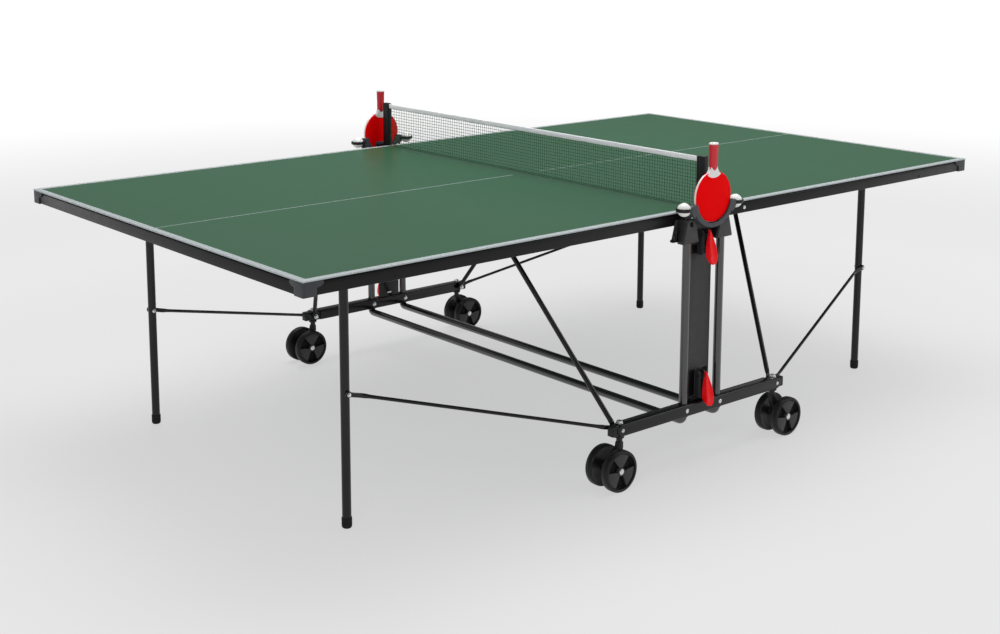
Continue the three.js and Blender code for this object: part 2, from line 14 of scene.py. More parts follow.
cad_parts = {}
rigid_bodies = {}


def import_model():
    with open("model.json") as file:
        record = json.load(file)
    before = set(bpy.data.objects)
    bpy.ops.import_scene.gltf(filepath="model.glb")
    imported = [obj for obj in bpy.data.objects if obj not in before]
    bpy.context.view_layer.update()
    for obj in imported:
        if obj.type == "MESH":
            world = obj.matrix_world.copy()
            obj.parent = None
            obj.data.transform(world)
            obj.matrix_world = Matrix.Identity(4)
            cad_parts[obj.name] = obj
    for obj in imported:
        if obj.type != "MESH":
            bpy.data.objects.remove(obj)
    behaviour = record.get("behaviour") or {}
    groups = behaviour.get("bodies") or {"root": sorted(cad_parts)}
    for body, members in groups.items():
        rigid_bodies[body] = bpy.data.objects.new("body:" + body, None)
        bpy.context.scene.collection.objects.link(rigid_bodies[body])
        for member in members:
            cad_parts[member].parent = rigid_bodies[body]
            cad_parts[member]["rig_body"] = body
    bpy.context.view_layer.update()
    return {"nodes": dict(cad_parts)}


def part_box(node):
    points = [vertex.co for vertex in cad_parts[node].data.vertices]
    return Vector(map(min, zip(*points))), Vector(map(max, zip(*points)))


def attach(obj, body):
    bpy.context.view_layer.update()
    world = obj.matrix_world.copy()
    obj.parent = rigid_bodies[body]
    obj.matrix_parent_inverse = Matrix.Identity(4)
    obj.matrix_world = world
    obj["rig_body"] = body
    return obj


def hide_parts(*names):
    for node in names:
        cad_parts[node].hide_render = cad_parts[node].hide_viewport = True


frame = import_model()

MM = 0.001
SIDES_X = (("left", -1), ("right", 1))
SIDES_Y = (("near", -1), ("far", 1))
scene = bpy.context.scene


def span(node):
    """Lowest and highest corner of a CAD node, in millimetres."""
    low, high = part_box(node)
    return low / MM, high / MM


# ---------------------------------------------------------------- camera, light and floor

LENS_MM = 54.22
LENS_SHIFT = (0.0214, -0.152)
CAMERA_PLACE = (-3.241, -3.666, 1.627)
CAMERA_YAW, CAMERA_PITCH = 0.8788, -0.1702
FLOOR_FADE = 10.0
BACKDROP_LIGHT, BACKDROP_SEEN = 0.28, 0.97


def make_camera():
    data = bpy.data.cameras.new("camera")
    data.sensor_width = 36
    data.lens = LENS_MM
    data.shift_x, data.shift_y = LENS_SHIFT
    camera = bpy.data.objects.new("camera", data)
    scene.collection.objects.link(camera)
    camera.location = CAMERA_PLACE
    level = math.cos(CAMERA_PITCH)
    forward = Vector((level * math.cos(CAMERA_YAW), level * math.sin(CAMERA_YAW), math.sin(CAMERA_PITCH)))
    camera.rotation_euler = forward.to_track_quat("-Z", "Y").to_euler()
    scene.camera = camera


def area_light(name, place, target, size, power):
    data = bpy.data.lights.new(name, "AREA")
    data.shape = "RECTANGLE"
    data.size, data.size_y = size
    data.energy = power
    light = bpy.data.objects.new(name, data)
    scene.collection.objects.link(light)
    light.visible_camera = False
    light.location = place
    direction = Vector(target) - Vector(place)
    light.rotation_euler = direction.to_track_quat("-Z", "Y").to_euler()


def make_stage():
    scene.view_settings.view_transform = "Standard"
    world = bpy.data.worlds.new("studio")
    world.use_nodes = True
    backdrop = world.node_tree.nodes["Background"]
    backdrop.inputs["Color"].default_value = (1, 1, 1, 1)
    seen = world.node_tree.nodes.new("ShaderNodeLightPath")
    strength = world.node_tree.nodes.new("ShaderNodeMapRange")
    strength.inputs["To Min"].default_value = BACKDROP_LIGHT
    strength.inputs["To Max"].default_value = BACKDROP_SEEN
    world.node_tree.links.new(seen.outputs["Is Camera Ray"], strength.inputs["Value"])
    world.node_tree.links.new(strength.outputs["Result"], backdrop.inputs["Strength"])
    scene.world = world
    area_light("overhead", (0.5, 0.5, 4.4), (0, 0, 0), (4.5, 3.0), 190)
    area_light("front_fill", (-5.0, -4.0, 3.4), (0, 0, 0.4), (2.2, 2.2), 75)
    area_light("right_fill", (4.5, -4.5, 3.0), (0, 0, 0.4), (2.0, 2.4), 60)
    bpy.ops.mesh.primitive_plane_add(size=60, location=(0, 0, 0))
    floor = bpy.context.object
    floor.name = "floor"
    paint = Material("floor", (0.175, 0.175, 0.175), 0.7)
    # Painted light: the floor glows, dimmer near the table as painted shade and brighter far off, and this
    # glow also lights the undersides of the table.
    distance = paint.node("ShaderNodeVectorMath", operation="LENGTH")
    paint.link(paint.place, "Object", distance, 0)
    share = paint.node("ShaderNodeMath", operation="DIVIDE")
    share.inputs[1].default_value = FLOOR_FADE
    paint.link(distance, "Value", share, 0)
    glow = paint.node("ShaderNodeValToRGB")
    glow.color_ramp.interpolation = "EASE"
    stops = glow.color_ramp.elements
    stops[0].position, stops[0].color = 0.03, (0.53, 0.53, 0.533, 1)
    stops[1].position, stops[1].color = 0.85, (0.98, 0.98, 0.98, 1)
    for position, level in ((0.17, 0.60), (0.30, 0.655)):
        stop = stops.new(position)
        stop.color = (level, level, level, 1)
    paint.link(share, "Value", glow, "Fac")
    paint.link(glow, "Color", paint.shader, "Emission Color")
    paint.set(Emission_Strength=1.0)
    floor.data.materials.append(paint.material)


# ---------------------------------------------------------------- materials

MIX_FACTOR, MIX_A, MIX_B, MIX_RESULT = 0, 6, 7, 2


class Material:
    """A Principled material whose colour, roughness and relief vary with the object's own place."""

    def __init__(self, name, colour, roughness):
        self.material = bpy.data.materials.new(name)
        self.material.use_nodes = True
        self.tree = self.material.node_tree
        self.shader = self.tree.nodes["Principled BSDF"]
        self.colour = colour
        self.roughness = roughness
        self.place = self.node("ShaderNodeTexCoord")
        self.relief = None
        self.shader.inputs["Base Color"].default_value = (*colour, 1)
        self.shader.inputs["Roughness"].default_value = roughness

    def node(self, kind, **settings):
        made = self.tree.nodes.new(kind)
        for key, value in settings.items():
            setattr(made, key, value)
        return made

    def link(self, source, output, target, socket):
        self.tree.links.new(source.outputs[output], target.inputs[socket])

    def noise(self, size, detail=3.0):
        """Noise whose features are about size millimetres across."""
        noise = self.node("ShaderNodeTexNoise")
        noise.inputs["Scale"].default_value = 1 / (size * MM)
        noise.inputs["Detail"].default_value = detail
        self.link(self.place, "Object", noise, "Vector")
        return noise

    def vary_colour(self, size, amount):
        """The colour drifts lighter and darker by amount, a share of itself."""
        noise = self.noise(size)
        mix = self.node("ShaderNodeMix", data_type="RGBA")
        darker = [c * (1 - amount) for c in self.colour]
        lighter = [c * (1 + amount) for c in self.colour]
        mix.inputs[MIX_A].default_value = (*darker, 1)
        mix.inputs[MIX_B].default_value = (*lighter, 1)
        self.link(noise, "Fac", mix, MIX_FACTOR)
        self.link(mix, MIX_RESULT, self.shader, "Base Color")
        return self

    def vary_roughness(self, size, amount):
        noise = self.noise(size, detail=5)
        spread = self.node("ShaderNodeMapRange")
        spread.inputs["From Min"].default_value = 0.3
        spread.inputs["From Max"].default_value = 0.7
        spread.inputs["To Min"].default_value = self.roughness - amount
        spread.inputs["To Max"].default_value = self.roughness + amount
        self.link(noise, "Fac", spread, "Value")
        self.link(spread, "Result", self.shader, "Roughness")
        return self

    def bump(self, source, output, height):
        """Adds a relief of the given height in millimetres."""
        bump = self.node("ShaderNodeBump")
        bump.inputs["Strength"].default_value = 1.0
        bump.inputs["Distance"].default_value = height * MM
        self.link(source, output, bump, "Height")
        if self.relief:
            self.link(self.relief, "Normal", bump, "Normal")
        self.link(bump, "Normal", self.shader, "Normal")
        self.relief = bump
        return self

    def grain(self, size, height):
        return self.bump(self.noise(size, detail=2), "Fac", height)

    def weave(self, pitch, height, axes):
        """Crossed threads: axes are the two object axes that the threads run along."""
        waves = []
        for axis in axes:
            wave = self.node("ShaderNodeTexWave", wave_type="BANDS", bands_direction=axis)
            wave.inputs["Scale"].default_value = math.pi / 10 / (pitch * MM)
            self.link(self.place, "Object", wave, "Vector")
            waves.append(wave)
        crossed = self.node("ShaderNodeMath", operation="MULTIPLY")
        self.link(waves[0], "Fac", crossed, 0)
        self.link(waves[1], "Fac", crossed, 1)
        return self.bump(crossed, "Value", height)

    def set(self, **values):
        for key, value in values.items():
            self.shader.inputs[key.replace("_", " ")].default_value = value
        return self


# name, colour, roughness, then (size in mm, amount) of the drift in colour, in roughness and in relief
LOOKS = {
    "green": ("table_green", (0.026, 0.101, 0.049), 0.38, (220, 0.02), (90, 0.008), (1.4, 0.012)),
    "line": ("line_paint", (0.42, 0.46, 0.47), 0.42, (40, 0.04), (25, 0.04), (1.2, 0.02)),
    "backing": ("board_backing", (0.024, 0.060, 0.038), 0.6, (90, 0.12), (30, 0.06), (2.0, 0.05)),
    "apron": ("apron_black", (0.007, 0.007, 0.008), 0.32, (120, 0.2), (35, 0.03), (1.1, 0.03)),
    "steel": ("frame_black", (0.005, 0.005, 0.006), 0.2, (90, 0.2), (30, 0.03), (1.0, 0.03)),
    "tube": ("tube_gloss", (0.012, 0.012, 0.013), 0.18, (90, 0.2), (30, 0.03), (1.0, 0.02)),
    "panel": ("panel_grey", (0.030, 0.030, 0.033), 0.42, (70, 0.12), (25, 0.05), (0.9, 0.03)),
    "holder": ("holder_grey", (0.045, 0.050, 0.060), 0.5, (30, 0.1), (12, 0.06), (0.5, 0.03)),
    "sleeve": ("sleeve_grey", (0.016, 0.016, 0.017), 0.42, (30, 0.15), (14, 0.06), (0.6, 0.04)),
    "sleeve_face": ("sleeve_face", (0.034, 0.033, 0.033), 0.5, (30, 0.12), (14, 0.06), (0.6, 0.04)),
    "cap": ("cap_grey", (0.026, 0.028, 0.034), 0.48, (25, 0.12), (10, 0.06), (0.5, 0.03)),
    "black_plastic": ("post_black", (0.011, 0.011, 0.013), 0.42, (30, 0.2), (14, 0.06), (0.6, 0.03)),
    "rubber": ("foot_rubber", (0.012, 0.012, 0.012), 0.75, (12, 0.25), (8, 0.08), (0.4, 0.04)),
    "tread": ("wheel_tread", (0.010, 0.010, 0.0105), 0.38, (14, 0.2), (9, 0.07), (0.5, 0.04)),
    "sector": ("wheel_disc", (0.030, 0.029, 0.029), 0.32, (18, 0.12), (9, 0.06), (0.6, 0.03)),
    # near-black painted shade, put in recesses and holes
    "shade_black": ("painted_shade_black", (0.004, 0.004, 0.004), 0.5, (14, 0.2), (9, 0.07), (0.6, 0.03)),
    "latch": ("latch_red", (0.93, 0.001, 0.005), 0.36, (20, 0.06), (12, 0.05), (0.7, 0.02)),
    "bat_face": ("bat_red", (0.90, 0.0, 0.001), 0.6, (35, 0.05), (15, 0.06), (0.35, 0.02)),
    "bat_grip": ("grip_red", (0.62, 0.014, 0.028), 0.45, (16, 0.1), (10, 0.06), (0.8, 0.04)),
    "bat_white": ("bat_white", (0.82, 0.81, 0.80), 0.45, (12, 0.04), (8, 0.05), (0.5, 0.02)),
    "cord": ("net_cord", (0.016, 0.085, 0.045), 0.85, (6, 0.3), None, (0.4, 0.08)),
    "thread": ("stitch_thread", (0.62, 0.64, 0.68), 0.8, (3, 0.15), None, (0.3, 0.05)),
    "ball": ("ball_white", (0.86, 0.86, 0.84), 0.38, (14, 0.03), (9, 0.05), (0.5, 0.01)),
    "zinc": ("zinc", (0.72, 0.73, 0.75), 0.28, (4, 0.08), (3, 0.06), (0.6, 0.02)),
    "bolt_white": ("bolt_white", (0.80, 0.81, 0.82), 0.35, (3, 0.05), (3, 0.05), (0.5, 0.02)),
}
SPECULAR = {
    "apron": 0.2, "steel": 0.35, "black_plastic": 0.3, "tread": 0.25, "sector": 0.35, "shade_black": 0.1,
    "rubber": 0.2, "latch": 0.25, "panel": 0.35, "line": 0.3, "green": 0.2, "bat_face": 0.04,
}


def make_materials():
    made = {}
    for key, (name, colour, roughness, drift, wear, relief) in LOOKS.items():
        made[key] = Material(name, colour, roughness).vary_colour(*drift)
        if wear:
            made[key].vary_roughness(*wear)
        made[key].grain(*relief)
    made["tape"] = Material("net_tape_cloth", (0.90, 0.90, 0.93), 0.85)
    made["tape"].vary_colour(15, 0.06).weave(0.8, 0.12, ("Y", "Z"))
    made["zinc"].set(Metallic=1.0)
    made["tape"].set(Sheen_Weight=0.2)
    made["tube"].set(Specular_IOR_Level=0.8, Coat_Weight=0.7, Coat_Roughness=0.12)
    for key, level in SPECULAR.items():
        made[key].set(Specular_IOR_Level=level)
    made["ball"].set(Subsurface_Weight=0.05)
    return made


MATERIALS = make_materials()


# ---------------------------------------------------------------- solids

def soften(points, radius, segments=3):
    """A closed outline with each corner rounded to radius."""
    out = []
    count = len(points)
    for i, point in enumerate(points):
        here = Vector(point)
        before = Vector(points[i - 1]) - here
        after = Vector(points[(i + 1) % count]) - here
        reach = min(radius, before.length * 0.45, after.length * 0.45)
        start = here + before.normalized() * reach
        end = here + after.normalized() * reach
        for k in range(segments + 1):
            t = k / segments
            bend = start * (1 - t) ** 2 + here * 2 * t * (1 - t) + end * t ** 2
            out.append(tuple(bend))
    return out


def rectangle(x0, x1, z0, z1):
    return [(x0, z0), (x1, z0), (x1, z1), (x0, z1)]


def arc(x, z, radius, start, end, steps):
    """Points on an arc; angles in degrees."""
    points = []
    for i in range(steps + 1):
        angle = math.radians(start + (end - start) * i / steps)
        points.append((x + radius * math.cos(angle), z + radius * math.sin(angle)))
    return points


class Shape:
    """Closed solids gathered into one piece. Drawn in millimetres, then turned about Z and moved."""

    def __init__(self, turn=0.0, at=(0, 0, 0)):
        self.mesh = bmesh.new()
        self.matrix = Matrix.Scale(MM, 4) @ Matrix.Translation(at) @ Matrix.Rotation(turn, 4, "Z")
        self.materials = []

    def slot(self, material):
        if material not in self.materials:
            self.materials.append(material)
        return self.materials.index(material)

    def take(self, part, material):
        """Moves a part's faces into this piece."""
        index = self.slot(material)
        for face in part.faces:
            face.material_index = index
        kept = bpy.data.meshes.new("part")
        part.to_mesh(kept)
        part.free()
        self.mesh.from_mesh(kept)
        bpy.data.meshes.remove(kept)

    def block(self, low, high, material, bevel=1.0, segments=2):
        part = bmesh.new()
        middle = (Vector(low) + Vector(high)) / 2
        size = Vector(high) - Vector(low)
        bmesh.ops.create_cube(part, size=1, matrix=Matrix.LocRotScale(middle, None, size))
        width = min(bevel, min(size) * 0.45)
        bmesh.ops.bevel(
            part, geom=part.edges[:], offset=width, segments=segments, profile=0.5, affect="EDGES",
        )
        self.take(part, material)

    def slab(self, outlines, y0, y1, material, bevel=1.0, axis="y", rounds=2):
        """Outlines in the XZ plane with depth along Y, or in the YZ plane with depth along X.
        The first is the outer edge, and the others are holes."""
        curve = bpy.data.curves.new("outline", "CURVE")
        curve.dimensions = "2D"
        curve.fill_mode = "BOTH"
        rim = min(bevel, (y1 - y0) * 0.45)
        curve.extrude = (y1 - y0) / 2 - rim
        curve.bevel_depth = rim
        curve.bevel_resolution = rounds
        curve.offset = -rim
        for outline in outlines:
            spline = curve.splines.new("POLY")
            spline.points.add(len(outline) - 1)
            for point, (x, z) in zip(spline.points, outline):
                point.co = (x, z, 0, 1)
            spline.use_cyclic_u = True
        holder = bpy.data.objects.new("outline", curve)
        scene.collection.objects.link(holder)
        bpy.context.view_layer.update()
        made = bpy.data.meshes.new_from_object(holder.evaluated_get(bpy.context.evaluated_depsgraph_get()))
        part = bmesh.new()
        part.from_mesh(made)
        bmesh.ops.remove_doubles(part, verts=part.verts, dist=0.002)
        turn = Matrix.Rotation(math.pi / 2, 4, "X")
        if axis == "x":
            turn = Matrix.Rotation(math.pi / 2, 4, "Z") @ turn
            shift = Matrix.Translation(((y0 + y1) / 2, 0, 0))
        else:
            shift = Matrix.Translation((0, (y0 + y1) / 2, 0))
        bmesh.ops.transform(part, matrix=shift @ turn, verts=part.verts)
        bmesh.ops.recalc_face_normals(part, faces=part.faces)
        bpy.data.objects.remove(holder)
        bpy.data.curves.remove(curve)
        bpy.data.meshes.remove(made)
        self.take(part, material)

    def rings(self, rings, material, closed=False):
        """Joins a row of rings, each a list of as many points."""
        part = bmesh.new()
        rows = [[part.verts.new(point) for point in ring] for ring in rings]
        count = len(rows[0])
        pairs = list(zip(rows, rows[1:]))
        if closed:
            pairs.append((rows[-1], rows[0]))
        for a, b in pairs:
            for i in range(count):
                j = (i + 1) % count
                part.faces.new((a[i], a[j], b[j], b[i]))
        if not closed:
            part.faces.new(rows[0])
            part.faces.new(rows[-1])
        bmesh.ops.recalc_face_normals(part, faces=part.faces)
        self.take(part, material)

    def lathe(self, profile, centre, axis, material, segments=32, closed=False):
        """Turns (radius, height) points about an axis. A closed profile makes a ring."""
        rings = []
        for radius, height in profile:
            ring = []
            for i in range(segments):
                angle = 2 * math.pi * i / segments
                a = max(radius, 0.01) * math.cos(angle)
                b = max(radius, 0.01) * math.sin(angle)
                offset = {"x": (height, a, b), "y": (b, height, a), "z": (a, b, height)}[axis]
                ring.append(Vector(centre) + Vector(offset))
            rings.append(ring)
        self.rings(rings, material, closed=closed)

    def pin(self, radius, centre, axis, start, end, material, bevel=0.6, segments=24):
        self.lathe(
            [(radius - bevel, start), (radius, start + bevel), (radius, end - bevel), (radius - bevel, end)],
            centre, axis, material, segments,
        )

    def bolt(self, centre, axis, out, radius, height, material="zinc"):
        """A washer with a domed head, standing off a face towards out, which is 1 or -1."""
        washer = 0.3 * height
        profile = [(radius * 1.3, -0.5), (radius * 1.3, washer), (radius, washer)]
        for i in range(5):
            angle = math.pi / 2 * i / 4
            profile.append((radius * math.cos(angle), washer + (height - washer) * math.sin(angle)))
        self.lathe([(r, out * h) for r, h in profile], centre, axis, material, 20)

    def nut(self, centre, axis, out, radius, height, material="zinc"):
        washer = 1.2
        self.lathe([(radius * 1.25, -0.4 * out), (radius * 1.25, washer * out)], centre, axis, material, 24)
        profile = [(radius, washer), (radius, height - 0.6), (radius - 0.8, height)]
        self.lathe([(r, out * h) for r, h in profile], centre, axis, material, 6)

    def sweep(self, points, section, material):
        """Sweeps section(index) -> [(u, v)] along a path in which v stays close to Y."""
        places = [Vector(p) for p in points]
        rings = []
        side = Vector((0, 1, 0))
        for i, place in enumerate(places):
            before = places[max(i - 1, 0)]
            after = places[min(i + 1, len(places) - 1)]
            along = (after - before).normalized()
            if abs(along.dot(side)) > 0.95:
                side = Vector((0, 0, -1)) if along.y > 0 else Vector((0, 0, 1))
            across = along.cross(side).normalized()
            up = across.cross(along).normalized()
            rings.append([place + across * u + up * v for u, v in section(i)])
        self.rings(rings, material)

    def piece(self, name, body, replaces, smooth=35):
        data = bpy.data.meshes.new(name)
        bmesh.ops.transform(self.mesh, matrix=self.matrix, verts=self.mesh.verts)
        bmesh.ops.recalc_face_normals(self.mesh, faces=self.mesh.faces)
        self.mesh.to_mesh(data)
        self.mesh.free()
        for material in self.materials:
            data.materials.append(MATERIALS[material].material)
        data.polygons.foreach_set("use_smooth", [True] * len(data.polygons))
        data.set_sharp_from_angle(angle=math.radians(smooth))
        made = bpy.data.objects.new(name, data)
        scene.collection.objects.link(made)
        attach(made, body)
        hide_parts(*replaces)
        return made


def circle(radius, sides=24):
    return [
        (radius * math.cos(2 * math.pi * i / sides), radius * math.sin(2 * math.pi * i / sides))
        for i in range(sides)
    ]


# ---------------------------------------------------------------- sizes that several pieces share

HALF_LENGTH = 1370
HALF_WIDTH = 762.5
APRON_BOTTOM = 720
APRON_THICK = 18
INNER_BAR_BOTTOM = 732
LEG_X, LEG_Y = 1098, 532
LEG_AXLE_Z = 728
LEG_BOLT_Z = 372
STRUT_TOP_Y, STRUT_TOP_Z = 466, 704
UPRIGHT_X = 72
UPRIGHT_RADIUS = 12.5
RAIL_Y = 783
RAIL_END_X = 337
RAIL_CENTRE_Z = 168.5
SWIVEL_X = 334
BLADE_Z = 803
BLADE_RADIUS = 75


# ---------------------------------------------------------------- half tops

LINE_WIDTH = 20
CENTRE_LINE_HALF = 1.5
CENTRE_LINE_START = 57


def make_board(end, turn):
    low, high = span("table_top_right")
    shape = Shape(turn)
    part = bmesh.new()
    middle = (low + high) / 2
    bmesh.ops.create_cube(part, size=1, matrix=Matrix.LocRotScale(middle, None, high - low))
    bmesh.ops.bevel(part, geom=part.edges[:], offset=0.7, segments=2, profile=0.5, affect="EDGES")
    end_line = high.x - LINE_WIDTH
    side_line = high.y - LINE_WIDTH
    cuts = [("x", end_line), ("x", CENTRE_LINE_START), ("y", side_line), ("y", -side_line),
            ("y", CENTRE_LINE_HALF), ("y", -CENTRE_LINE_HALF)]
    for axis, value in cuts:
        normal = (1, 0, 0) if axis == "x" else (0, 1, 0)
        place = tuple(value * n for n in normal)
        geometry = part.verts[:] + part.edges[:] + part.faces[:]
        bmesh.ops.bisect_plane(part, geom=geometry, plane_co=place, plane_no=normal)
    green, line, backing = (shape.slot(m) for m in ("green", "line", "backing"))
    kinds = []
    for face in part.faces:
        centre = face.calc_center_median()
        edge = abs(centre.y) > side_line or centre.x > end_line
        centre_line = abs(centre.y) < CENTRE_LINE_HALF and centre.x > CENTRE_LINE_START
        if face.normal.z < -0.9:
            kinds.append(backing)
        elif edge or centre_line:
            kinds.append(line)
        else:
            kinds.append(green)
    kept = bpy.data.meshes.new("board")
    part.to_mesh(kept)
    kept.polygons.foreach_set("material_index", kinds)
    part.free()
    shape.mesh.from_mesh(kept)
    bpy.data.meshes.remove(kept)
    shape.piece(f"board_{end}", f"{end}_half", [f"table_top_{end}"])


SHADOW_GAP = 3.2
AXLE_RADIUS = 10
APRON_BOLT_X = 203


def make_top_frame(end, turn):
    low, high = span("top_frame_right")
    strut_high = span("strut_right_near")[1]
    leg_low, leg_high = span("leg_right_near")
    lug_x = strut_high.x - 10
    leg_x = (leg_low.x + leg_high.x) / 2
    shape = Shape(turn)
    top = high.z
    bottom = APRON_BOTTOM
    lip = top - SHADOW_GAP
    inner_y = high.y - APRON_THICK
    inner_x = high.x - APRON_THICK
    shape.block((inner_x, -high.y, bottom), (high.x, high.y, lip), "apron", 2)
    shape.block((inner_x, -high.y + 3, lip - 2), (high.x - 3, high.y - 3, top), "apron", 0.5)
    shape.block((low.x, -high.y + 1, INNER_BAR_BOTTOM), (low.x + APRON_THICK, high.y - 1, top), "apron", 2)
    for side in (-1, 1):
        outer, inner = side * high.y, side * inner_y
        y0, y1 = min(outer, inner), max(outer, inner)
        shape.block((low.x, y0, bottom), (high.x - 1, y1, lip), "apron", 2)
        outer -= side * 3
        y0, y1 = min(outer, inner), max(outer, inner)
        shape.block((low.x + 1, y0, lip - 2), (high.x - 3, y1, top), "apron", 0.5)
        if side < 0:
            shape.bolt((APRON_BOLT_X, side * high.y, 736), "y", side, 4.2, 2.2, "bolt_white")
        shape.bolt((LEG_X, side * high.y, LEG_AXLE_Z), "y", side, 3.6, 1.6, "apron")
        for edge in (-1, 1):
            lug_y = side * STRUT_TOP_Y + edge * 6.5
            outline = [*arc(lug_x, STRUT_TOP_Z, 10, 180, 360, 10), (lug_x + 10, 726), (lug_x - 10, 726)]
            shape.slab([outline], lug_y - 2.5, lug_y + 2.5, "steel", 0.6)
        shape.bolt((lug_x, side * (STRUT_TOP_Y + 9), STRUT_TOP_Z), "y", side, 5, 4)
        shape.nut((lug_x, side * (STRUT_TOP_Y - 9), STRUT_TOP_Z), "y", -side, 6, 6)
        shape.pin(3.6, (lug_x, side * STRUT_TOP_Y, STRUT_TOP_Z), "y", -10, 10, "zinc")
    shape.block((lug_x - 10, -inner_y - 1, 724), (lug_x + 10, inner_y + 1, 742), "steel", 2)
    shape.block((lug_x - 10, -inner_y - 1, 741), (lug_x + 10, inner_y + 1, top), "steel", 1)
    shape.pin(AXLE_RADIUS, (leg_x, 0, LEG_AXLE_Z), "y", -inner_y - 1, inner_y + 1, "steel", 0.6, 28)
    for side in (-1, 1):
        for edge in (-1, 1):
            collar_y = side * LEG_Y + edge * 25
            collar = (leg_x, collar_y, LEG_AXLE_Z)
            shape.pin(AXLE_RADIUS + 3.5, collar, "y", -3, 3, "black_plastic", 0.8)
    for across in (-250, 250):
        shape.block((low.x + 15, across - 15, 744), (inner_x + 1, across + 15, top), "steel", 1.5)
    shape.piece(f"apron_frame_{end}", f"{end}_half", [f"top_frame_{end}"])


CAP_BODY = 40
CAP_TAB = 60
CAP_THICK = 1.8


def make_corner_cap(end, side_name, side_x, side_y):
    turn = math.atan2(side_y, side_x) + math.pi / 4
    low, high = span(f"corner_cap_{end}_{side_name}")
    corner = (side_x * HALF_LENGTH, side_y * HALF_WIDTH, 0)
    shape = Shape(turn, corner)
    bottom, top = low.z, high.z
    radius = 5
    face = [
        (radius, bottom + 0.4), (CAP_BODY - 3, bottom + 0.4), (CAP_BODY, bottom + 3), (CAP_BODY, top - 17),
        (CAP_BODY + 12, top - 14), (CAP_TAB, top - 8), (CAP_TAB - 1, top), (radius, top),
    ]
    shape.slab([[(-u, z) for u, z in reversed(face)]], 0, CAP_THICK, "cap", 0.7)
    shape.slab([face], -CAP_THICK, 0, "cap", 0.7, axis="x")
    corner_ring = []
    for z, inset in ((bottom + 0.3, 1.0), (bottom + 1.3, 0), (top - 1, 0), (top, 0.8)):
        ring = [(-radius + (radius - inset) * math.cos(math.radians(a)),
                 radius + (radius - inset) * math.sin(math.radians(a)), z) for a in range(-90, 1, 15)]
        ring += [(-CAP_THICK - radius / 2, radius + 0.5, z), (-radius - 0.5, CAP_THICK + radius / 2, z)]
        corner_ring.append(ring)
    shape.rings(corner_ring, "cap")
    shape.block((-CAP_BODY + 1, 1, bottom), (-1, 26, bottom + 1.7), "cap", 0.6)
    shape.block((-26, 1, bottom), (-1, CAP_BODY - 1, bottom + 1.7), "cap", 0.6)
    name = f"{end}_{side_name}"
    shape.piece(f"corner_guard_{name}", f"{end}_half", [f"corner_cap_{name}"])


# ---------------------------------------------------------------- undercarriage

BEND_RADIUS = 15


def make_u_frame(end):
    low, high = span(f"u_frame_{end}")
    x = (low.x + high.x) / 2
    cross_z = low.z + UPRIGHT_RADIUS
    bend_y = high.y - UPRIGHT_RADIUS
    route = [(x, -bend_y, high.z), (x, -bend_y, cross_z + BEND_RADIUS + 60)]
    arc_points = []
    for i in range(11):
        angle = math.pi / 2 * i / 10
        arc_points.append((BEND_RADIUS * (1 - math.cos(angle)), BEND_RADIUS * (1 - math.sin(angle))))
    route += [(x, -bend_y + inward, cross_z + up) for inward, up in arc_points]
    route += [(x, y, cross_z) for y in (-500, 0, 500)]
    route += [(x, bend_y - inward, cross_z + up) for inward, up in reversed(arc_points)]
    route += [(x, bend_y, cross_z + BEND_RADIUS + 60), (x, bend_y, high.z)]
    places = [Vector(p) for p in route]
    rings = []
    for i, place in enumerate(places):
        before, after = places[max(i - 1, 0)], places[min(i + 1, len(places) - 1)]
        along = (after - before).normalized()
        across = Vector((1, 0, 0))
        up = across.cross(along)
        rings.append([place + across * u + up * v for u, v in circle(UPRIGHT_RADIUS, 28)])
    shape = Shape()
    shape.rings(rings, "tube")
    shape.piece(f"tube_frame_{end}", "root", [f"u_frame_{end}"])


def make_rail(side_name, turn):
    shape = Shape(turn)
    hub = 18
    outer_y = -RAIL_Y - 17
    outline = [
        *arc(RAIL_END_X, RAIL_CENTRE_Z, hub, -90, 90, 16), *arc(-RAIL_END_X, RAIL_CENTRE_Z, hub, 90, 270, 16),
    ]
    shape.slab([outline], outer_y, -771.2, "steel", 3.5, rounds=3)
    shape.block((-311, -772.5, 150.7), (311, -766, 186.3), "steel", 3)
    for side in (-1, 1):
        x0, x1 = sorted((side * (RAIL_END_X + 2), side * 371.5))
        shape.block((x0, outer_y + 4, 153), (x1, -771.5, 184), "black_plastic", 3)
        end_x = side * RAIL_END_X
        shape.bolt((end_x, outer_y, RAIL_CENTRE_Z), "y", -1, 4.2, 4)
        shape.pin(3.9, (end_x, 0, RAIL_CENTRE_Z), "y", -773, -750, "zinc")
        shape.nut((end_x, -756.2, RAIL_CENTRE_Z), "y", 1, 6.5, 7)
        shape.bolt((side * UPRIGHT_X, outer_y, RAIL_CENTRE_Z), "y", -1, 5, 4)
        shape.nut((side * UPRIGHT_X, -766, RAIL_CENTRE_Z), "y", 1, 6, 6)
        shape.lathe(
            [(11.5, 150.8), (11.5, 146), (14, 144.5), (14, 150.8)], (side * SWIVEL_X, -RAIL_Y, 0), "z",
            "black_plastic", 28, closed=True,
        )
        for ring_z in (150.4, 186.4):
            shape.lathe(
                [(13.3, ring_z - 1.5), (15, ring_z - 1.5), (15, ring_z + 1.2), (13.3, ring_z + 1.2)],
                (side * UPRIGHT_X, -RAIL_Y, 0), "z", "black_plastic", 28, closed=True,
            )
    shape.piece(f"base_rail_{side_name}", "root", [f"rail_{side_name}"])


PANEL_HALF = 45
LATCH_HEIGHTS = {"top": 686, "bottom": 259}
LATCH_Y = 786
CHEEK_X, CHEEK_HALF = 11, 2.2


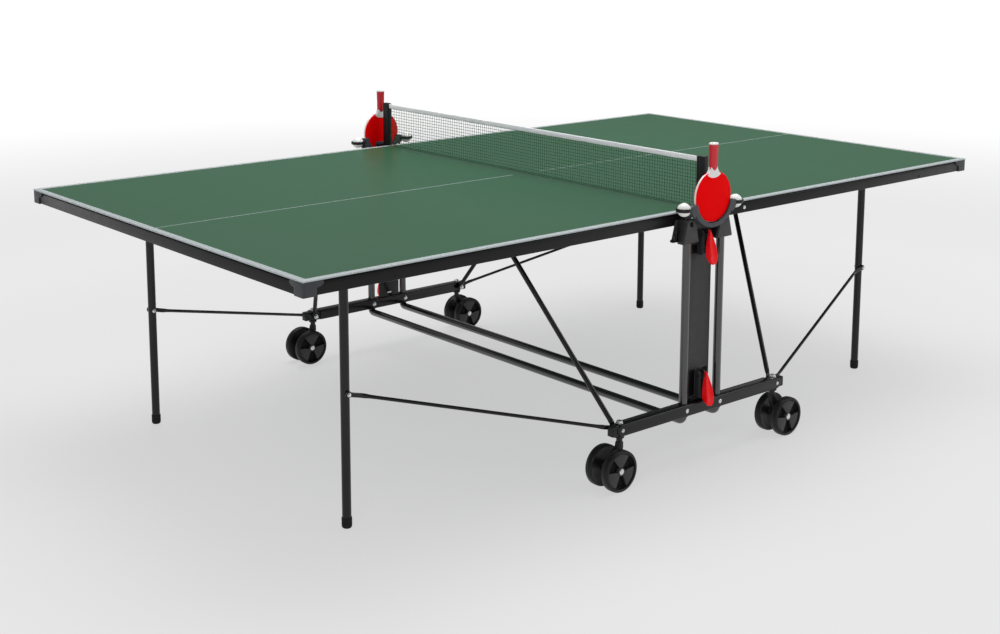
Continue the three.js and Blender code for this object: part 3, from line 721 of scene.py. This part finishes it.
def make_panel(side_name, turn):
    low, high = span("centre_panel_near")
    shape = Shape(turn)
    back = -771
    front = -774
    window_x = (14.5, 38.5)
    outer = soften(rectangle(-PANEL_HALF, PANEL_HALF, low.z, high.z), 1.5)
    windows = []
    for z0, z1 in ((200, 278), (632, 657)):
        for side in (-1, 1):
            x0, x1 = sorted(side * x for x in window_x)
            windows.append(soften(rectangle(x0, x1, z0, z1), 2)[::-1])
            # A near-black sheet fills each window: painted shade standing in for the hole's depth.
            shape.block((x0 - 1.5, back - 1.1, z0 - 1.5), (x1 + 1.5, back - 0.3, z1 + 1.5), "shade_black", 0.2)
    shape.slab([outer, *windows], front, back, "panel", 0.8, rounds=3)
    for side in (-1, 1):
        e0, e1 = sorted((side * (CHEEK_X - CHEEK_HALF), side * (CHEEK_X + CHEEK_HALF)))
        for z0, z1 in ((190, 275), (626, 700)):
            cheek = [(772, z1), (772, z0), (787, z0), (795, z0 + 7), (795, z1 - 9), (788, z1)]
            shape.slab([soften([(-y, h) for y, h in reversed(cheek)], 2)], e0, e1, "panel", 0.6, axis="x")
        for z in LATCH_HEIGHTS.values():
            shape.bolt((side * (CHEEK_X + CHEEK_HALF), -LATCH_Y, z), "x", side, 3.2, 1.6, "black_plastic")
    shape.bolt((0, front, 734), "y", -1, 4.5, 3)
    shape.block((-43.5, back - 0.2, low.z + 1.5), (43.5, back + 0.45, high.z - 1.5), "steel", 0.2)
    shape.bolt((-5, back + 0.4, 312), "y", 1, 4.6, 2.6, "bolt_white")
    shape.block((-9, back + 0.3, 199), (9, back + 3, 205), "bolt_white", 1)
    shape.piece(f"panel_{side_name}", "root", [f"centre_panel_{side_name}"])


def make_latch(level, side_name, side_y, turn):
    """A thick pointed drop: it leans outwards going down, and its front is dished."""
    z = LATCH_HEIGHTS[level]
    shape = Shape(turn, (0, side_y * LATCH_Y, z))
    tip, toe = 17, -83
    levels = 26
    rings = []
    for i in range(levels + 1):
        t = i / levels
        height = tip + (toe - tip) * t
        width = 1.0 + 14.5 * math.sin(math.pi * min(t, 0.97) * 0.68)
        if t > 0.86:
            width *= math.sqrt(max(1 - ((t - 0.86) / 0.142) ** 2 * 0.72, 0))
        front = -20.5 - 20 * min(1, t * 1.35) ** 0.8
        back = -17 - 5.5 * t
        if t > 0.78:
            back -= (t - 0.78) / 0.22 * 14
        dish = 3.0 * math.sin(math.pi * min(max((t - 0.1) / 0.86, 0), 1)) ** 0.7
        rim = width * 0.24
        rings.append([
            (-width, back + 1, height), (-width + 1.2, back, height), (width - 1.2, back, height),
            (width, back + 1, height), (width, front + 2.2, height), (width - 0.6, front + 0.7, height),
            (width - rim * 0.6, front, height), (width - rim, front + 0.3, height),
            (width - rim * 1.6, front + dish * 0.75, height), (0, front + dish, height),
            (-width + rim * 1.6, front + dish * 0.75, height), (-width + rim, front + 0.3, height),
            (-width + rim * 0.6, front, height), (-width + 0.6, front + 0.7, height),
            (-width, front + 2.2, height),
        ])
    shape.rings(rings, "latch")
    shape.block((-8, -19, -7.5), (8, 1, 7.5), "black_plastic", 1.5)
    shape.pin(7.5, (0, 0, 0), "x", -8, 8, "black_plastic", 1)
    shape.pin(2.9, (0, 0, 0), "x", -13.5, 13.5, "zinc")
    name = f"{level}_{side_name}"
    shape.piece(f"red_latch_{name}", f"{level}_latch_{side_name}", [f"latch_{name}"], smooth=50)


# ---------------------------------------------------------------- sleeves, legs and rods

SLEEVE_HOLE_Z = 727


def make_sleeve(end, side_name, side_x, turn, side_y):
    low, high = span(f"sleeve_{end}_{side_name}")
    shape = Shape(turn, (side_x * UPRIGHT_X, side_y * RAIL_Y, 0))
    bottom, top = low.z, high.z
    outer, block_back, wing_face, inner = -18, 7, 13.2, 16.5
    away = side_x if turn == 0 else -side_x
    neck_z = top - 9

    def outline(foot, neck, crown, inset):
        return soften([
            (-foot, bottom + inset), (foot, bottom + inset), (foot, bottom + 7), (neck, neck_z),
            (crown, top - inset), (-crown, top - inset), (-neck, neck_z), (-foot, bottom + 7),
        ], 5, 4)

    shape.slab([outline(33.5, 19, 12, 0)], outer + 3, block_back, "sleeve", 2, rounds=3)
    shape.slab([outline(24.5, 18, 12, 0)], 5, inner, "sleeve", 1.5, rounds=3)
    hole = arc(0, SLEEVE_HOLE_Z, 7.6, 0, 345, 23)
    shape.slab([outline(31, 16, 11, 2), hole[::-1]], outer, outer + 4, "sleeve_face", 1.4, rounds=3)
    # A near-black disc inside the hole: painted shade.
    shape.pin(8, (0, 0, SLEEVE_HOLE_Z), "y", outer + 2.6, outer + 3.4, "shade_black", 0.2)
    wing = soften([
        (-48, bottom + 14), (-54, bottom + 14), (-54, bottom + 6), (54, bottom + 6), (54, bottom + 14),
        (48, bottom + 14), (34, 738), (-34, 738),
    ], 2.5)
    shape.slab([wing], wing_face, inner, "sleeve", 1)
    for x, rise in ((38, 26), (45, 12)):
        x0, x1 = sorted((away * x, away * (x - 2.4)))
        shape.block((x0, wing_face - 7, bottom + 8), (x1, wing_face + 0.5, bottom + 14 + rise), "sleeve", 0.8)
    x0, x1 = sorted((-away * 24, away * 54))
    shape.block((x0, wing_face - 9, bottom + 6), (x1, wing_face + 0.5, bottom + 9), "sleeve", 1)
    shape.pin(5, (0, 0, SLEEVE_HOLE_Z), "y", inner - 2, RAIL_Y - 745, "zinc")
    name = f"{end}_{side_name}"
    shape.piece(f"slide_{name}", f"{end}_sleeves", [f"sleeve_{name}"])


def make_leg(end, side_name, side_x, side_y):
    x, y = side_x * LEG_X, side_y * LEG_Y
    shape = Shape(0, (x, y, 0))
    shape.pin(12.5, (0, 0, 0), "z", 12, 720, "steel", 0.5, 28)
    hub = [(10.6, -21), (15, -21), (16, -20), (16, 20), (15, 21), (10.6, 21)]
    shape.lathe(hub, (0, 0, LEG_AXLE_Z), "y", "steel", 32, closed=True)
    shape.lathe([(12.4, 703), (14.5, 711), (15, 719), (10, 722)], (0, 0, 0), "z", "steel", 28)
    shape.bolt((0, -side_y * 12, LEG_BOLT_Z), "y", -side_y, 4.4, 4)
    shape.pin(3.3, (0, 0, LEG_BOLT_Z), "y", *sorted((-side_y * 12, side_y * 20)), "zinc")
    shape.nut((0, side_y * 19.2, LEG_BOLT_Z), "y", side_y, 4.6, 5)
    name = f"{end}_{side_name}"
    shape.piece(f"leg_tube_{name}", f"{end}_legs", [f"leg_{name}"])
    foot = Shape(0, (x, y, 0))
    profile = [
        (0, 0), (8, 0), (10.8, 0.8), (12.8, 2.6), (13.9, 5.6), (14.2, 9), (14.2, 18), (13.8, 18.6),
        (14.2, 19.2), (14.2, 28.8), (13.6, 30), (12.8, 30), (12.8, 11.7), (0, 11.7),
    ]
    foot.lathe(profile, (0, 0, 0), "z", "rubber", 32)
    foot.piece(f"foot_cap_{name}", f"{end}_legs", [f"leg_foot_{name}"])


def link_rod(shape, foot, top, shares, radius, eye_radius, eye_thick, flat_length):
    """A round rod pressed flat towards the eyes at both ends."""
    foot, top = Vector(foot), Vector(top)
    length = (top - foot).length

    def place(t):
        point = foot.lerp(top, t)
        slope = min(max((t - shares[0]) / (1 - shares[0] - shares[1]), 0), 1)
        point.y = foot.y + (top.y - foot.y) * slope
        return point

    stops = [0, 0.3, 0.7, 1, 1.25, 1.6]
    near = [s * flat_length / length for s in stops]
    bends = [shares[0] - 0.004, shares[0] + 0.004, 1 - shares[1] - 0.004, 1 - shares[1] + 0.004]
    shares_along = sorted(set(near + [1 - s for s in near] + bends + [0.5]))

    def section(i):
        t = shares_along[i]
        reach = min(t, 1 - t) * length / flat_length
        press = min(max(1.35 - reach, 0) / 0.35, 1)
        press = press * press * (3 - 2 * press)
        half_v = radius + (eye_thick / 2 - radius) * press
        half_u = radius + (min(eye_radius - 1, radius * 1.3) - radius) * press
        angles = [2 * math.pi * k / 20 for k in range(20)]
        return [(half_u * math.cos(a), half_v * math.sin(a)) for a in angles]

    shape.sweep([place(t) for t in shares_along], section, "steel")
    for end in (foot, top):
        half = eye_thick / 2
        shape.lathe(
            [(4.2, -half), (eye_radius - 0.8, -half), (eye_radius, -half + 0.8), (eye_radius, half - 0.8),
             (eye_radius - 0.8, half), (4.2, half)], end, "y", "steel", 28, closed=True,
        )


def make_strut(end, side_name, side_x, side_y):
    high = span("strut_right_near")[1]
    name = f"{end}_{side_name}"
    shape = Shape()
    foot = (side_x * RAIL_END_X, side_y * 759.7, RAIL_CENTRE_Z)
    top = (side_x * (high.x - 10), side_y * STRUT_TOP_Y, STRUT_TOP_Z)
    link_rod(shape, foot, top, (0.025, 0.05), 7.5, 10, 6.4, 23)
    shape.piece(f"brace_{name}", f"{end}_struts", [f"strut_{name}"])


def make_tie_rod(end, side_name, side_x, side_y):
    name = f"{end}_{side_name}"
    shape = Shape()
    foot = (side_x * RAIL_END_X, side_y * 767.7, RAIL_CENTRE_Z)
    top = (side_x * LEG_X, side_y * 548.2, LEG_BOLT_Z)
    link_rod(shape, foot, top, (0.055, 0.055), 5, 9.5, 5.4, 54)
    shape.piece(f"leg_link_{name}", f"{end}_tie_rods", [f"tie_rod_{name}"])


# ---------------------------------------------------------------- casters

TRAIL = 31
WHEEL_RADIUS = 61
# (radius, distance from the middle plane) of each ring of a wheel: tyre, web, hub and spacer. The web is
# near-black, as painted shade on the floor of the recesses between the sectors.
TYRE = [
    (50, 22), (57.5, 19.7), (59.3, 20.6), (60.6, 23), (61, 26.5), (60.5, 27.2), (61, 28), (61, 36),
    (60.5, 36.8), (61, 37.6), (60.6, 41), (59.3, 43.4), (57.5, 44.4), (53, 44.4), (51.5, 43.2), (50.5, 34),
    (48, 31.5), (12, 31.5), (12, 25), (46, 24),
]
WHEEL_RINGS = [
    (TYRE, "tread", 64),
    ([(48.6, 31), (48.6, 33.4), (12.5, 33.4), (12.5, 31)], "shade_black", 48),
    ([(6.2, 20), (13.5, 20), (13.5, 40), (12, 42.5), (6.2, 42.5)], "sector", 32),
    ([(6.2, 11.2), (9.5, 11.2), (10.5, 20.5), (6.2, 20.5)], "tread", 28),
]
HUB_CAP = [(8.5, 41.8), (8.5, 43.2), (7.2, 44), (4, 44.5), (0, 44.5)]


def make_caster(end, side_name, side_x, side_y):
    name = f"{end}_{side_name}"
    turn = math.pi if side_x < 0 else 0
    shape = Shape(turn, (side_x * SWIVEL_X, side_y * RAIL_Y, 0))
    outline = soften([
        (-9.5, 133.5), (9.5, 133.5), (11, 120), (19, 111), (38, 92), (48, 66), (46, 50), (36, 44), (26, 45),
        (15, 58), (8, 80), (-2, 98), (-9.5, 110),
    ], 5, 4)
    shape.slab([outline], -8, 8, "black_plastic", 2.5, rounds=3)
    shape.pin(9, (0, 0, 0), "z", 121, 189, "steel", 0.6, 28)
    collar = [(8.8, 149), (11.5, 149), (11.6, 147), (10.2, 144.5), (8.8, 144)]
    shape.lathe(collar, (0, 0, 0), "z", "black_plastic", 28, closed=True)
    shape.nut((0, 0, 187), "z", 1, 9, 7)
    shape.pin(12, (TRAIL, 0, WHEEL_RADIUS), "y", -10.5, 10.5, "black_plastic", 0.8)
    body = node_body(f"caster_fork_{name}")
    shape.piece(f"caster_body_{name}", body, [f"caster_fork_{name}"])
    wheels = Shape(0, (side_x * (SWIVEL_X + TRAIL), side_y * RAIL_Y, WHEEL_RADIUS))
    for out in (-1, 1):
        for profile, material, segments in WHEEL_RINGS:
            ring = [(radius, out * height) for radius, height in profile]
            wheels.lathe(ring, (0, 0, 0), "y", material, segments, closed=True)
        wheels.lathe([(radius, out * height) for radius, height in HUB_CAP], (0, 0, 0), "y", "zinc", 28)
        for k in range(3):
            middle = 90 + 120 * k
            outer_arc = arc(0, 0, 50.4, middle - 36, middle + 36, 12)
            inner_arc = arc(0, 0, 11, middle + 27, middle - 27, 4)
            y0, y1 = sorted((out * 32.5, out * 41.5))
            wheels.slab([soften(outer_arc + inner_arc, 0.8, 1)], y0, y1, "sector", 1.2)
    wheels.pin(5.8, (0, 0, 0), "y", -42, 42, "zinc")
    body = node_body(f"caster_wheels_{name}")
    wheels.piece(f"twin_wheels_{name}", body, [f"caster_wheels_{name}"])


def node_body(node):
    """The CAD body that a node rides on."""
    return frame["nodes"][node]["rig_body"]


# ---------------------------------------------------------------- bat holders, posts and balls

BALL_X, BALL_Y, BALL_Z, BALL_RADIUS = 110, 804, 775, 20


def make_bat_holder(side_name, turn):
    shape = Shape(turn)
    plate_z = 746
    shape.block((-90, -799, plate_z), (90, -767, plate_z + 6), "black_plastic", 1.5)
    shape.block((-30, -803, plate_z), (30, -794, 762), "black_plastic", 1.5)
    shape.block((-12, -803, 724), (12, -777, plate_z + 1), "black_plastic", 1.5)
    shield = soften([(-27, 722), (27, 722), (30, 730), (30, 770), (-30, 770), (-30, 730)], 3)
    shape.slab([shield], -805.5, -801.7, "holder", 1)
    back = arc(0, BLADE_Z, 90, 192, 348, 40) + arc(0, BLADE_Z, 65, 348, 192, 36)
    shape.slab([soften(back, 1, 1)], -805.5, -801.7, "holder", 0.8)
    cradle = arc(0, BLADE_Z, 90, 192, 348, 40) + arc(0, BLADE_Z, 77, 348, 192, 36)
    shape.slab([soften(cradle, 1, 1)], -821, -802.5, "holder", 0.8)
    front = arc(0, BLADE_Z, 90.2, 192, 348, 40) + arc(0, BLADE_Z - 6.5, 70.5, 352, 188, 36)
    shape.slab([soften(front, 1.2, 1)], -822, -818.5, "holder", 1, rounds=3)
    for side in (-1, 1):
        wedge = soften([
            (side * 79, 786), (side * 92, 785), (side * 99, 779), (side * 96, 768), (side * 88, 757),
            (side * 80, 748), (side * 76, 756),
        ], 3)
        if side < 0:
            wedge = wedge[::-1]
        shape.slab([wedge], -821.5, -806, "holder", 1.5, rounds=3)
        centre = (side * BALL_X, -BALL_Y, BALL_Z)
        ring = [(20.7, -5), (23.2, -5), (24, -3.8), (24, 3.8), (23.2, 5), (20.7, 5), (20.5, 0)]
        shape.lathe(ring, centre, "z", "black_plastic", 48, closed=True)
        x0, x1 = sorted((side * 80, side * 89))
        shape.block((x0, -813, BALL_Z - 6), (x1, -798, BALL_Z + 5), "black_plastic", 1.5)
        shape.bolt((side * 68, -799, plate_z + 3), "y", -1, 4.6, 3, "bolt_white")
    seam = [(-0.4, 713.4), (0.4, 713.4), (0.4, 725.5), (-0.4, 725.5)]
    shape.slab([seam], -822.3, -821.5, "black_plastic", 0.1)
    shape.piece(f"bat_cradle_{side_name}", "root", [f"bat_holder_{side_name}"])


def make_net_post(side_name, turn):
    low, high = span("net_post_near")
    shape = Shape(turn)
    shape.block((-10, -784, low.z), (10, -765.8, high.z), "black_plastic", 1.6)
    shape.block((-9.5, -767, 763.5), (9.5, -756, high.z - 1), "black_plastic", 1.4)
    shape.block((-7.2, -782, high.z - 1.5), (7.2, -770, high.z + 0.4), "holder", 0.8)
    for z in (800, 840, 880):
        shape.block((-10.5, -776, z - 9), (10.5, -774, z + 9), "black_plastic", 0.6)
    shape.pin(3.4, (0, -784, 779), "y", -2.5, 1, "zinc")
    shape.piece(f"post_{side_name}", "root", [f"net_post_{side_name}"])


def make_ball(end, side_name, side_x, side_y):
    centre = (side_x * BALL_X, side_y * BALL_Y, BALL_Z)
    shape = Shape(0, centre)
    part = bmesh.new()
    bmesh.ops.create_icosphere(part, subdivisions=4, radius=BALL_RADIUS - 0.05)
    tilt = Matrix.Rotation(0.5 + 0.9 * side_x, 4, "X") @ Matrix.Rotation(0.7 * side_y, 4, "Z")
    for vert in part.verts:
        seam = math.exp(-(vert.co.z / 0.5) ** 2)
        vert.co *= 1 - 0.0025 * seam
    bmesh.ops.transform(part, matrix=tilt, verts=part.verts)
    shape.take(part, "ball")
    name = f"{end}_{side_name}"
    shape.piece(f"game_ball_{name}", node_body(f"ball_{name}"), [f"ball_{name}"], smooth=80)


BAT_Y = 812


def full_oval(half_x, half_y, z, sides=32):
    """A level ring that is a little squarer than an ellipse."""
    ring = []
    for k in range(sides):
        angle = 2 * math.pi * k / sides
        across, along = math.cos(angle), math.sin(angle)
        x = half_x * math.copysign(abs(across) ** 0.8, across)
        y = half_y * math.copysign(abs(along) ** 0.8, along)
        ring.append((x, y, z))
    return ring


def make_bat(side_name, side_y):
    top = span(f"bat_{side_name}")[1].z
    shape = Shape(math.pi if side_y > 0 else 0, (0, side_y * BAT_Y, 0))
    shoulder = 58
    shoulder_x = BLADE_RADIUS * math.cos(math.radians(shoulder))
    shoulder_z = BLADE_Z + BLADE_RADIUS * math.sin(math.radians(shoulder))
    neck = BLADE_Z + 80

    def neck_curve(t):
        """From the blade's shoulder to the grip, on the +X side."""
        x = (1 - t) ** 2 * shoulder_x + 2 * t * (1 - t) * 17 + t ** 2 * 13
        z = (1 - t) ** 2 * shoulder_z + 2 * t * (1 - t) * (neck - 12) + t ** 2 * neck
        return x, z

    blade = arc(0, BLADE_Z, BLADE_RADIUS, 180 - shoulder, 360 + shoulder, 56)
    blade += [neck_curve(i / 7) for i in range(1, 8)]
    blade += [(-x, z) for x, z in (neck_curve(1 - i / 7) for i in range(7))]
    shape.slab([blade], -3.1, 3.1, "bat_white", 0.8)
    for face in (-1, 1):
        y0, y1 = sorted((face * 2.9, face * 4.7))
        rubber = arc(0, BLADE_Z, BLADE_RADIUS - 1, 110, 430, 60)
        rubber.append((0, BLADE_Z + 57))
        shape.slab([rubber], y0, y1, "bat_face", 0.5)
        collar = [
            (-12.8, 889), (-6.5, 883.5), (0, 878), (6.5, 883.5), (12.8, 889), (15.6, 881), (20, 873.5),
            (28, 867), (20, 861.5), (10, 858.3), (0, 857.2), (-10, 858.3), (-20, 861.5), (-28, 867),
            (-20, 873.5), (-15.6, 881),
        ]
        y0, y1 = sorted((face * 3, face * 6.1))
        shape.slab([collar[::-1]], y0, y1, "bat_white", 0.8)
    stops = [
        (876, 2.2, 3.4), (879.5, 6.4, 6.6), (884, 10.8, 8.8), (889, 12.8, 10.2), (896, 13.0, 10.6),
        (915, 13.2, 10.8), (940, 13.9, 11.3), (952, 14.3, 11.6), (954.6, 14.4, 11.6),
    ]
    shape.rings([full_oval(half_x, half_y, z) for z, half_x, half_y in stops], "bat_grip")
    butt = [(954.4, 0.2), (956.6, 0.2), (958.2, -0.3), (top, -1.6)]
    shape.rings([full_oval(14.4 + grow, 11.6 + grow, z) for z, grow in butt], "bat_white")
    shape.piece(f"paddle_{side_name}", node_body(f"bat_{side_name}"), [f"bat_{side_name}"])


# ---------------------------------------------------------------- net

NET_PITCH = 10.2
CORD_RADIUS = 0.62
KNOT_RADIUS = 1.15


def make_net():
    low, high = span("net_mesh")
    tape_low, tape_high = span("net_tape")
    chance = random.Random(7)
    columns = round((high.y - low.y) / NET_PITCH)
    rows = round((high.z - low.z) / NET_PITCH)
    step_y = (high.y - low.y - 2) / columns
    step_z = (high.z - low.z - 1) / rows

    def knot(i, j):
        """The knot at a row and column: the net bellies a little and hangs unevenly."""
        y = low.y + 1 + i * step_y
        z = low.z + 0.8 + j * step_z
        belly = 1.2 * math.sin(2 * math.pi * i / 37) * math.sin(math.pi * j / rows)
        return Vector((belly, y, z))

    wander = [[Vector((chance.uniform(-0.3, 0.3), chance.uniform(-0.5, 0.5), chance.uniform(-0.5, 0.5)))
               for _ in range(rows + 1)] for _ in range(columns + 1)]
    shape = Shape()

    def cord(points, radius):
        rings = []
        for i, point in enumerate(points):
            along = (points[min(i + 1, len(points) - 1)] - points[max(i - 1, 0)]).normalized()
            across = Vector((1, 0, 0))
            up = along.cross(across).normalized()
            at_knot = i % 3 == 0
            size = radius * (KNOT_RADIUS / CORD_RADIUS if at_knot else 1)
            rings.append([point + across * u + up * v for u, v in circle(size, 5)])
        shape.rings(rings, "cord")

    def between(ends):
        points = []
        for a, b in zip(ends, ends[1:]):
            points += [a, a.lerp(b, 0.25), a.lerp(b, 0.75)]
        return [*points, ends[-1]]

    for j in range(rows + 1):
        edge = 1.7 if j in (0, rows) else 1
        line = [knot(i, j) + wander[i][j] * (0.4 if j in (0, rows) else 1) for i in range(columns + 1)]
        cord(between(line), CORD_RADIUS * edge)
    for i in range(columns + 1):
        line = [knot(i, j) + wander[i][j] for j in range(rows + 1)]
        line[0].z, line[-1].z = knot(i, 0).z, knot(i, rows).z
        cord(between(line), CORD_RADIUS)
    net = shape.piece("net_cords", "root", ["net_mesh"], smooth=80)

    tape = Shape()
    thick = 1.1
    outer = tape_high.x
    bottom, top = tape_low.z, tape_high.z
    section = [
        (-outer, bottom), (-outer, top - 2.2), (-outer + 0.8, top - 0.6), (-0.6, top), (0.6, top),
        (outer - 0.8, top - 0.6), (outer, top - 2.2), (outer, bottom), (outer - thick, bottom),
        (outer - thick, top - 3), (0, top - thick - 0.6), (-outer + thick, top - 3), (-outer + thick, bottom),
    ]
    rings = []
    steps = 180
    for i in range(steps + 1):
        y = tape_low.y + (tape_high.y - tape_low.y) * i / steps
        ripple = 0.35 * math.sin(i * 0.37) + 0.2 * math.sin(i * 0.91)
        ring = []
        for x, z in section:
            sway = ripple if z < top - 4 else 0
            ring.append((x + sway * 0.4, y, z + 0.25 * sway))
        rings.append(ring)
    tape.rings(rings, "tape")
    for out in (-1, 1):
        y = tape_low.y + 4
        while y < tape_high.y - 6:
            x0, x1 = sorted((out * (outer - 0.2), out * (outer + 0.35)))
            tape.block((x0, y, bottom + 2.6), (x1, y + 3.4, bottom + 3.3), "thread", 0.1, 1)
            y += 5
    hem = tape.piece("net_band", "root", ["net_tape"], smooth=50)


# ---------------------------------------------------------------- the object

make_camera()
make_stage()
for end, side_x in SIDES_X:
    half_turn = math.pi if side_x < 0 else 0
    make_board(end, half_turn)
    make_top_frame(end, half_turn)
    make_u_frame(end)
for side_name, side_y in SIDES_Y:
    turn = math.pi if side_y > 0 else 0
    make_rail(side_name, turn)
    make_panel(side_name, turn)
    make_bat_holder(side_name, turn)
    make_net_post(side_name, turn)
    make_bat(side_name, side_y)
    for level in LATCH_HEIGHTS:
        make_latch(level, side_name, side_y, turn)
    for end, side_x in SIDES_X:
        make_corner_cap(end, side_name, side_x, side_y)
        make_sleeve(end, side_name, side_x, turn, side_y)
        make_leg(end, side_name, side_x, side_y)
        make_strut(end, side_name, side_x, side_y)
        make_tie_rod(end, side_name, side_x, side_y)
        make_caster(end, side_name, side_x, side_y)
        make_ball(end, side_name, side_x, side_y)
make_net()
